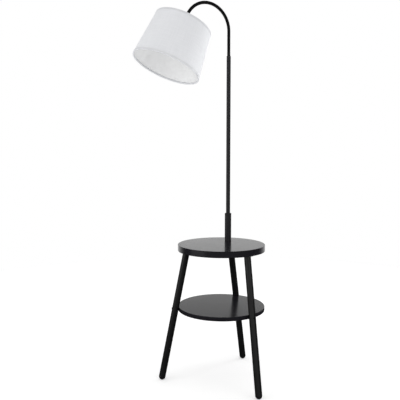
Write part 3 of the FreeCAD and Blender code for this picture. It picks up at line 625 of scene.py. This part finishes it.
gland_plastic = moulded("gland_plastic", (0.012, 0.012, 0.012), (0.02, 0.02, 0.02), 0.55, 700)
dress(zinc_plate, "table_stem", "stem_washer", "stem_nut", "sleeve_base_plug", "pole_joint_stud")
dress(gland_plastic, "cable_gland")


# ---- sleeve and pole -------------------------------------------------------------------------------
# Steel tubes, powder coated satin black: a thick sleeve on the table, and a pole in two sections
# that meet flush. Brass bushes in the tubes' ends take the threaded pieces.


def powder_coat(name, dark, pale, sheen, grit):
    """Baked powder: an even skin with a fine leathery ripple."""
    made, tree, shader = new_material(name, dark, sheen)
    cloud = noise(tree, 30, 4)
    tinted(tree, shader, cloud.outputs[0], dark, pale)
    tree.links.new(
        mapped(tree, cloud.outputs[0], sheen - 0.04, sheen + 0.06), shader.inputs["Roughness"]
    )
    first = bump(tree, shader, noise(tree, grit, 2).outputs[0], 0.00006, 0.45)
    bump(tree, shader, noise(tree, grit * 3, 1).outputs[0], 0.00002, 0.4, first)
    return made


def brass(name):
    made, tree, shader = new_material(name, (0.72, 0.5, 0.2), 0.3)
    shader.inputs["Metallic"].default_value = 1
    tarnish = noise(tree, 120, 5)
    tinted(tree, shader, tarnish.outputs[0], (0.55, 0.36, 0.14), (0.8, 0.58, 0.25))
    tree.links.new(mapped(tree, tarnish.outputs[0], 0.22, 0.42), shader.inputs["Roughness"])
    bump(tree, shader, noise(tree, 900, 2).outputs[0], 0.00002, 0.3)
    return made


tube_coat = powder_coat("tube_powder", (0.011, 0.0105, 0.0125), (0.015, 0.0145, 0.0165), 0.46, 800)
plain_brass = brass("plain_brass")
dress(tube_coat, "pole_sleeve", "sleeve_top_bush", "pole_lower", "pole_upper", "holder_cap")
dress(
    plain_brass,
    "pole_foot_insert",
    "pole_joint_insert",
    "pole_upper_insert",
    "pole_top_insert",
    "centre_contact",
)


# ---- flexible neck ---------------------------------------------------------------------------------
# Spring-steel wire wound into a hose with rounded ribs, coated black, and crimped into a plain
# ferrule at either end. It stands straight out of the pole, arches over and stays as it is bent.

NECK_RADIUS = 0.0065
RISE = 0.098
BEND_RADIUS = 0.1014
BEND = math.radians(155.4)
FERRULE = 0.014
RIB_DEPTH = 0.0007
RIBS_TO_A_LINK = 12
STEPS_TO_A_RIB = 8
NECK_END = 0.04
COLLAR_START = 0.008
COLLAR_ABOVE_SHADE = 0.024
COLLAR_PROUD = 0.0002
COLLAR_BEVEL = 0.0006
COLLAR_BORE = 0.003
SPIGOT_RADIUS = 0.005
SPIGOT_ABOVE_SHADE = 0.012
LINE_POINTS = 60

neck_coat = powder_coat("neck_coat", (0.0025, 0.0025, 0.003), (0.0045, 0.0045, 0.005), 0.33, 1600)
neck_coat.node_tree.nodes["Principled BSDF"].inputs["Specular IOR Level"].default_value = 0.25
dress(neck_coat, "neck_bottom_ferrule")
pole_top = middle("pole_upper")
pole_top.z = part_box("pole_upper")[1][2]
bends = [joint for joint in frame["joints"] if joint["name"].startswith("neck_bend")]
hinge = Vector(bends[0]["axis"]).normalized()
ahead = hinge.cross(Vector((0, 0, 1))).normalized()


def neck_point(run):
    """The point of the neck's centreline a run above the pole."""
    angle = min(max((run - RISE) / BEND_RADIUS, 0), BEND)
    point = pole_top + Vector((0, 0, min(run, RISE)))
    point = point + ahead * BEND_RADIUS * (1 - math.cos(angle))
    point = point + Vector((0, 0, BEND_RADIUS * math.sin(angle)))
    beyond = max(run - RISE - BEND_RADIUS * BEND, 0)
    return point + (ahead * math.sin(BEND) + Vector((0, 0, math.cos(BEND)))) * beyond


def hose_tree():
    """Geometry nodes that wind ribs round a centreline, a whole number of them to its length."""
    tree = bpy.data.node_groups.new("ribbed_hose", "GeometryNodeTree")
    face = tree.interface
    face.new_socket("Geometry", in_out="INPUT", socket_type="NodeSocketGeometry")
    face.new_socket("Radius", in_out="INPUT", socket_type="NodeSocketFloat")
    face.new_socket("Depth", in_out="INPUT", socket_type="NodeSocketFloat")
    face.new_socket("Ribs", in_out="INPUT", socket_type="NodeSocketInt")
    face.new_socket("Steps", in_out="INPUT", socket_type="NodeSocketInt")
    face.new_socket("Finish", in_out="INPUT", socket_type="NodeSocketMaterial")
    face.new_socket("Geometry", in_out="OUTPUT", socket_type="NodeSocketGeometry")
    given = add(tree, "NodeGroupInput").outputs

    line = add(tree, "GeometryNodeMeshToCurve", {"Mesh": given["Geometry"]})
    points = calculate(tree, "MULTIPLY_ADD", given["Ribs"], given["Steps"], 1)
    even = add(tree, "GeometryNodeResampleCurve", {"Curve": line.outputs[0], "Count": points})
    index = add(tree, "GeometryNodeInputIndex").outputs[0]
    share = calculate(tree, "FRACT", calculate(tree, "DIVIDE", index, given["Steps"]))
    across = calculate(tree, "MULTIPLY_ADD", share, 2, -1)
    squared = calculate(tree, "MULTIPLY", across, across)
    round_top = calculate(tree, "SQRT", calculate(tree, "SUBTRACT", 1, squared))
    cut = calculate(tree, "MULTIPLY", given["Depth"], calculate(tree, "SUBTRACT", 1, round_top))
    circle = add(tree, "GeometryNodeCurvePrimitiveCircle", {"Resolution": 28, "Radius": 1.0})
    hose = add(
        tree,
        "GeometryNodeCurveToMesh",
        {
            "Curve": even.outputs[0],
            "Profile Curve": circle.outputs[0],
            "Scale": calculate(tree, "SUBTRACT", given["Radius"], cut),
            "Fill Caps": True,
        },
    )
    real = add(tree, "GeometryNodeRealizeInstances", {"Geometry": hose.outputs[0]})
    coated = add(
        tree,
        "GeometryNodeSetMaterial",
        {"Geometry": real.outputs[0], "Material": given["Finish"]},
    )
    add(tree, "NodeGroupOutput", {"Geometry": coated.outputs[0]})
    return tree


HOSE = hose_tree()


def hose(name, start, end, ribs):
    """A ribbed stretch of the neck."""
    step = (end - start) / LINE_POINTS
    line = [neck_point(start + step * i) for i in range(LINE_POINTS + 1)]
    mesh = bpy.data.meshes.new(name)
    mesh.from_pydata(line, [(i, i + 1) for i in range(LINE_POINTS)], [])
    made = bpy.data.objects.new(name, mesh)
    bpy.context.collection.objects.link(made)
    ribbing = made.modifiers.new("ribs", "NODES")
    ribbing.node_group = HOSE
    set_inputs(
        ribbing,
        Radius=NECK_RADIUS,
        Depth=RIB_DEPTH,
        Ribs=ribs,
        Steps=STEPS_TO_A_RIB,
        Finish=neck_coat,
    )
    return finished(settled(made), neck_coat, sharp=60)


rise_pivots = [FERRULE, (FERRULE + RISE) / 2]
arch_links = len(bends) - 2
arch_pivots = [RISE + BEND_RADIUS * BEND * i / arch_links for i in range(arch_links + 1)]
pivots = rise_pivots + arch_pivots
middles = [(low + high) / 2 for low, high in zip(pivots, pivots[1:])]
collar_start = pivots[-1] + COLLAR_START
for i, lower in enumerate(middles):
    last = i == len(middles) - 1
    start = FERRULE if i == 0 else lower
    end = collar_start if last else middles[i + 1]
    ribs = round((end - start) / (BEND_RADIUS * BEND / arch_links) * RIBS_TO_A_LINK)
    stretch = hose(f"neck_hose_{i + 1}", start, end, ribs)
    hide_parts(f"neck_link_{i + 1}")
    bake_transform(stretch)

# the holder's and the shade's own frame: its origin in the middle of the shade's top, Z to the mouth
MOUNT_DEPTH = 0.03
socket_mount = next(m for m in frame["record"]["mounts"] if m["name"] == "bulb_socket")
shade_axis = Vector(socket_mount["axis"]).normalized()
head_origin = Vector(socket_mount["pos_m"]) - shade_axis * MOUNT_DEPTH
head = Matrix((hinge, shade_axis.cross(hinge), shade_axis)).transposed().to_4x4()
head.translation = head_origin

collar_top = COLLAR_START - NECK_END
collar_radius = NECK_RADIUS + COLLAR_PROUD
collar = lathe(
    "neck_collar",
    (
        (COLLAR_BORE, collar_top),
        (collar_radius - COLLAR_BEVEL, collar_top),
        (collar_radius, collar_top + COLLAR_BEVEL),
        (collar_radius, -COLLAR_ABOVE_SHADE),
        (SPIGOT_RADIUS, -COLLAR_ABOVE_SHADE),
        (SPIGOT_RADIUS, -SPIGOT_ABOVE_SHADE),
        (COLLAR_BORE, -SPIGOT_ABOVE_SHADE),
    ),
    head,
    steps=48,
)
collar = finished(collar, neck_coat)
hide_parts("neck_top_ferrule")
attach(collar, "lamp_head")


# ---- lamp holder -----------------------------------------------------------------------------------
# A black steel cap and a white moulded body with a coarse outer thread. A porcelain block inside
# carries the contacts and a rolled brass shell for the bulb's base.

white_plastic = moulded("holder_plastic", (0.72, 0.72, 0.7), (0.78, 0.78, 0.76), 0.4, 900)


def porcelain(name):
    """Unglazed fired clay, slightly sandy."""
    made, tree, shader = new_material(name, (0.74, 0.72, 0.66), 0.6)
    sand = noise(tree, 700, 4)
    tinted(tree, shader, sand.outputs[0], (0.66, 0.64, 0.58), (0.8, 0.78, 0.73))
    bump(tree, shader, sand.outputs[0], 0.00008, 0.5)
    return made


dress(zinc_plate, "holder_lock_nut", "terminal_screws")
dress(porcelain("porcelain"), "contact_block")

BODY_RADIUS = 0.0197
BODY_TOP = 0.004
BODY_END = 0.044
BODY_BORE = 0.017
MOUTH_BORE = 0.0141
MOUTH_TOP = 0.0194
MOUTH_ROUNDING = 0.0006
FLANGE_RADIUS = 0.0225
FLANGE_END = 0.008
FLANGE_ROUNDING = 0.0008
THREAD_PITCH = 0.003
THREAD_DEPTH = 0.0007
THREAD_RUNOUT = 0.001


def threaded(radius, pitch, depth, start, end):
    """A rounded screw thread between two heights, for lathe's shaped."""

    def shaped(reach, height, angle):
        if abs(reach - radius) > 1e-6 or not start <= height <= end:
            return reach
        ease = min(1, (height - start) / pitch, (end - height) / pitch)
        return reach - depth * ease * (0.5 - 0.5 * math.cos(2 * math.pi * height / pitch - angle))

    return shaped


def levels(radius, start, end, pitch, steps=8):
    """Outline points close enough together to show a thread."""
    count = round((end - start) / pitch * steps)
    return [(radius, start + (end - start) * i / count) for i in range(count + 1)]


flange = [
    (BODY_BORE, BODY_TOP),
    (FLANGE_RADIUS, BODY_TOP),
    (FLANGE_RADIUS, FLANGE_END - FLANGE_ROUNDING),
    (FLANGE_RADIUS - FLANGE_ROUNDING, FLANGE_END),
    (BODY_RADIUS, FLANGE_END),
]
mouth = [
    (BODY_RADIUS - MOUTH_ROUNDING, BODY_END),
    (MOUTH_BORE, BODY_END),
    (MOUTH_BORE, MOUTH_TOP),
    (BODY_BORE, MOUTH_TOP),
]
thread_run = (FLANGE_END + THREAD_RUNOUT, BODY_END - THREAD_RUNOUT)
holder = lathe(
    "holder_shell",
    flange + levels(BODY_RADIUS, *thread_run, THREAD_PITCH) + mouth,
    head,
    steps=72,
    shaped=threaded(BODY_RADIUS, THREAD_PITCH, THREAD_DEPTH, *thread_run),
)
holder = finished(holder, white_plastic)
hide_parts("holder_body")
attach(holder, "lamp_head")

SHELL_RADIUS = 0.0139
SHELL_WALL = 0.0005
SHELL_START = 0.0184
SHELL_END = 0.0414
SHELL_FOOT_RADIUS = 0.0169
SHELL_FOOT_THICK = 0.001
SHELL_PLAIN = 0.0016
SHELL_PITCH = 0.0036
SHELL_DEPTH = 0.0005
outside = levels(SHELL_RADIUS, SHELL_START + SHELL_PLAIN, SHELL_END, SHELL_PITCH)
inside = [(radius - SHELL_WALL, height) for radius, height in reversed(outside)]


def rolled(reach, height, angle):
    """The same thread on the shell's outer and inner face."""
    if height <= SHELL_START + SHELL_FOOT_THICK:
        return reach
    return reach - SHELL_DEPTH * (0.5 - 0.5 * math.cos(2 * math.pi * height / SHELL_PITCH - angle))


shell_foot = [
    (SHELL_FOOT_RADIUS, SHELL_START),
    (SHELL_FOOT_RADIUS, SHELL_START + SHELL_FOOT_THICK),
    (SHELL_RADIUS, SHELL_START + SHELL_FOOT_THICK),
]
shell = lathe(
    "bulb_shell",
    shell_foot + outside + inside + [(SHELL_RADIUS - SHELL_WALL, SHELL_START)],
    head,
    steps=72,
    shaped=rolled,
)
shell = finished(shell, plain_brass, sharp=50)
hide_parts("threaded_shell")
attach(shell, "lamp_head")


# ---- shade ring nut --------------------------------------------------------------------------------
# A white moulded ring with finger grips round its rim, screwed up the holder to clamp the shade's
# washer against the flange.

NUT_RADIUS = 0.028
NUT_BORE = 0.01975
NUT_MOUTH = 0.0205
NUT_START = 0.0092
NUT_END = 0.0162
NUT_BEVEL = 0.0007
NUT_ROUNDING = 0.0012
GRIPS = 30
GRIP_DEPTH = 0.0009


def gripped(reach, height, angle):
    """The hollows for the fingers, cut only into the nut's rim."""
    if reach < NUT_RADIUS - NUT_ROUNDING:
        return reach
    return reach - GRIP_DEPTH * max(0, math.cos(GRIPS * angle)) ** 2


ring_nut = lathe(
    "ring_nut",
    (
        (NUT_BORE, NUT_START),
        (NUT_RADIUS - NUT_BEVEL, NUT_START),
        (NUT_RADIUS, NUT_START + NUT_BEVEL),
        (NUT_RADIUS, NUT_END - NUT_ROUNDING),
        (NUT_RADIUS - NUT_ROUNDING, NUT_END),
        (NUT_MOUTH, NUT_END),
        (NUT_BORE, NUT_END - NUT_BEVEL),
    ),
    head,
    steps=240,
    shaped=gripped,
)
ring_nut = finished(ring_nut, white_plastic)
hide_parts("shade_ring_nut")
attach(ring_nut, "lamp_head")


# ---- shade frame -----------------------------------------------------------------------------------
# White coated steel wire: a ring with three spokes and a washer at the top, and a plain ring at the
# mouth, both hidden in the folded tapes.

dress(
    powder_coat("wire_coat", (0.74, 0.74, 0.74), (0.8, 0.8, 0.8), 0.35, 700),
    "shade_top_frame",
    "shade_bottom_ring",
)


# ---- shade -----------------------------------------------------------------------------------------
# White linen-weave cloth on a smooth clear backing, cut as one curved strip, rolled into a tapered
# drum and glued along one upright lap that faces the pole. Between its rims it waves in and out by
# a fifth of a millimetre, three times round.

TOP_RADIUS = 0.114
MOUTH_RADIUS = 0.1357
SHADE_HEIGHT = 0.188
SKIN = 0.0008
SKIN_START = 0.001
THREAD = 0.00055
LAP_WIDTH = 0.012
LAP_RISE = 0.0005
LAP_EDGE = 0.0008
PULL = 0.0002
LAP_AT = math.radians(92)
PULLS = 3
WAVE_PERIOD = 0.314  # of a Wave Texture at a scale of 1, in metres
AROUND = 384
DOWN = 20


def skin_radius(depth):
    """The cloth's outer radius at a depth below the shade's top."""
    return TOP_RADIUS + (MOUTH_RADIUS - TOP_RADIUS) * depth / SHADE_HEIGHT


def cloth(name, pitch, dark, pale, rise):
    """Plain-woven white cloth: two sets of threads that pass over and under, uneven in thickness."""
    made, tree, shader = new_material(name, pale, 0.85)
    shader.inputs["Specular IOR Level"].default_value = 0.2
    shader.inputs["Subsurface Weight"].default_value = 0.7
    shader.inputs["Subsurface Radius"].default_value = (1, 1, 1)
    shader.inputs["Subsurface Scale"].default_value = 0.003
    spread = add(tree, "ShaderNodeTexCoord").outputs["UV"]
    lengthwise = add(tree, "ShaderNodeMapping", {"Vector": spread, "Scale": (0.06, 1, 1)})
    crosswise = add(tree, "ShaderNodeMapping", {"Vector": spread, "Scale": (1, 0.06, 1)})
    slubs = [noise(tree, 260, 2, way.outputs[0]).outputs[0] for way in (lengthwise, crosswise)]
    uneven = calculate(tree, "ADD", *slubs)
    wave = WAVE_PERIOD / pitch
    across = add(tree, "ShaderNodeTexWave", {"Vector": spread, "Scale": wave}, bands_direction="X")
    down = add(tree, "ShaderNodeTexWave", {"Vector": spread, "Scale": wave}, bands_direction="Y")
    over = add(tree, "ShaderNodeTexChecker", {"Vector": spread, "Scale": 1 / pitch})
    weave = add(
        tree,
        "ShaderNodeMix",
        {"Factor": over.outputs["Fac"], 2: across.outputs["Fac"], 3: down.outputs["Fac"]},
        data_type="FLOAT",
    )
    tinted(tree, shader, mapped(tree, uneven, 0, 1, 0.75, 1.25), dark, pale)
    first = bump(tree, shader, uneven, rise, 0.25)
    bump(tree, shader, weave.outputs[0], rise * 0.5, 0.3, first)
    return made


def backing(name):
    """The cloth's smooth backing, as seen inside the shade."""
    made, tree, shader = new_material(name, (0.88, 0.885, 0.89), 0.5)
    shader.inputs["Subsurface Weight"].default_value = 0.7
    shader.inputs["Subsurface Radius"].default_value = (1, 1, 1)
    shader.inputs["Subsurface Scale"].default_value = 0.003
    cloud = noise(tree, 25, 3)
    tinted(tree, shader, cloud.outputs[0], (0.88, 0.885, 0.89), (0.91, 0.915, 0.92))
    tree.links.new(mapped(tree, cloud.outputs[0], 0.45, 0.6), shader.inputs["Roughness"])
    bump(tree, shader, noise(tree, 500, 2).outputs[0], 0.00003, 0.3)
    return made


def shade_skin():
    """The cloth as a thin closed shell whose map is measured in metres along the threads."""
    mesh = bmesh.new()
    threads = mesh.loops.layers.uv.new("threads")
    grid = {}
    for side in (0, 1):
        for j in range(DOWN + 1):
            depth = SKIN_START + (SHADE_HEIGHT - 2 * SKIN_START) * j / DOWN
            for i in range(AROUND):
                angle = 2 * math.pi * i / AROUND
                off = (angle - LAP_AT + math.pi) % (2 * math.pi) - math.pi
                beside = LAP_WIDTH / 2 - abs(off * skin_radius(depth))
                lap = LAP_RISE * min(1, max(0, beside / LAP_EDGE)) if side == 0 else 0
                pull = PULL * math.sin(PULLS * angle + 1) * math.sin(math.pi * j / DOWN)
                reach = skin_radius(depth) - SKIN * side - pull + lap
                spot = Vector((reach * math.cos(angle), reach * math.sin(angle), depth))
                grid[side, j, i] = mesh.verts.new(head @ spot)

    def face(keys, maps, material):
        made = mesh.faces.new([grid[key] for key in keys])
        made.material_index = material
        made.smooth = True
        for loop, spot in zip(made.loops, maps):
            loop[threads].uv = spot

    for j in range(DOWN):
        high = SHADE_HEIGHT * j / DOWN
        low = SHADE_HEIGHT * (j + 1) / DOWN
        for i in range(AROUND):
            k = (i + 1) % AROUND
            left = MOUTH_RADIUS * 2 * math.pi * i / AROUND
            right = MOUTH_RADIUS * 2 * math.pi * (i + 1) / AROUND
            maps = ((left, high), (right, high), (right, low), (left, low))
            face(((0, j, i), (0, j, k), (0, j + 1, k), (0, j + 1, i)), maps, 0)
            face(((1, j, k), (1, j, i), (1, j + 1, i), (1, j + 1, k)), maps, 1)
    for i in range(AROUND):
        k = (i + 1) % AROUND
        flat = ((0, 0), (0, 0), (0, 0), (0, 0))
        face(((1, 0, i), (1, 0, k), (0, 0, k), (0, 0, i)), flat, 0)
        face(((0, DOWN, i), (0, DOWN, k), (1, DOWN, k), (1, DOWN, i)), flat, 0)
    bmesh.ops.recalc_face_normals(mesh, faces=mesh.faces)
    return piece("shade_cloth", mesh)


skin = shade_skin()
linen = cloth("shade_linen", THREAD, (0.81, 0.825, 0.865), (0.85, 0.865, 0.905), 0.0001)
skin.data.materials.append(linen)
skin.data.materials.append(backing("shade_backing"))
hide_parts("shade_skin")
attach(skin, "lamp_head")


# ---- shade hems ------------------------------------------------------------------------------------
# White woven tape, folded over each rim, round the wire ring behind it and back to the cloth, where
# it is glued. The fold puckers very slightly.

HEM_WIDTH = 0.008
HEM_THICK = 0.0005
HEM_GAP = 0.0001
BEHIND = 0.0043
HEM_STEPS = 4
PUCKERS = ((47, 0.00008, 0), (31, 0.00006, 2))
TUCK_START = 0.0045
TUCKED = SKIN + HEM_GAP
FOLD_ROUNDING = 0.0012
FOLD_STEPS = 12


def pucker(reach, height, angle):
    """The small unevenness of a folded tape."""
    return reach + sum(size * math.sin(times * angle + turn) for times, size, turn in PUCKERS)


def hem(name, node, rim, inward):
    """A folded tape whose rim is at a depth, inward being 1 towards the mouth or -1 away from it."""
    outside = HEM_THICK + HEM_GAP
    inside = -BEHIND - HEM_THICK

    def at(depth, offset):
        return (skin_radius(rim + inward * depth) + offset, rim + inward * depth)

    def fold(trim, turns):
        """Half round the rim, a trim inside the tape's outer face."""
        across = (outside - inside) / 2 - trim
        along = FOLD_ROUNDING - trim
        turns = [math.pi * i / FOLD_STEPS for i in turns]
        return [
            at(FOLD_ROUNDING - along * math.sin(turn), (outside + inside) / 2 + across * math.cos(turn))
            for turn in turns
        ]

    outline = [at(HEM_WIDTH, HEM_GAP), at(HEM_WIDTH, outside)]
    outline += [at(HEM_WIDTH * (HEM_STEPS - i) / HEM_STEPS, outside) for i in range(1, HEM_STEPS)]
    outline += fold(0, range(FOLD_STEPS + 1))
    outline += [at(TUCK_START, inside), at(HEM_WIDTH, -TUCKED - HEM_THICK)]
    outline += [at(HEM_WIDTH, -TUCKED), at(TUCK_START, -BEHIND)]
    outline += fold(HEM_THICK, range(FOLD_STEPS, -1, -1))
    made = lathe(name, outline, head, steps=384, shaped=pucker)
    made = finished(made, hem_cloth, sharp=50)
    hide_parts(node)
    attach(made, "lamp_head")
    return made


hem_cloth = moulded("hem_tape", (0.77, 0.78, 0.805), (0.82, 0.83, 0.855), 0.85, 1800)
hems = [
    hem("hem_top", "shade_top_hem", 0, 1),
    hem("hem_mouth", "shade_bottom_hem", SHADE_HEIGHT, -1),
]
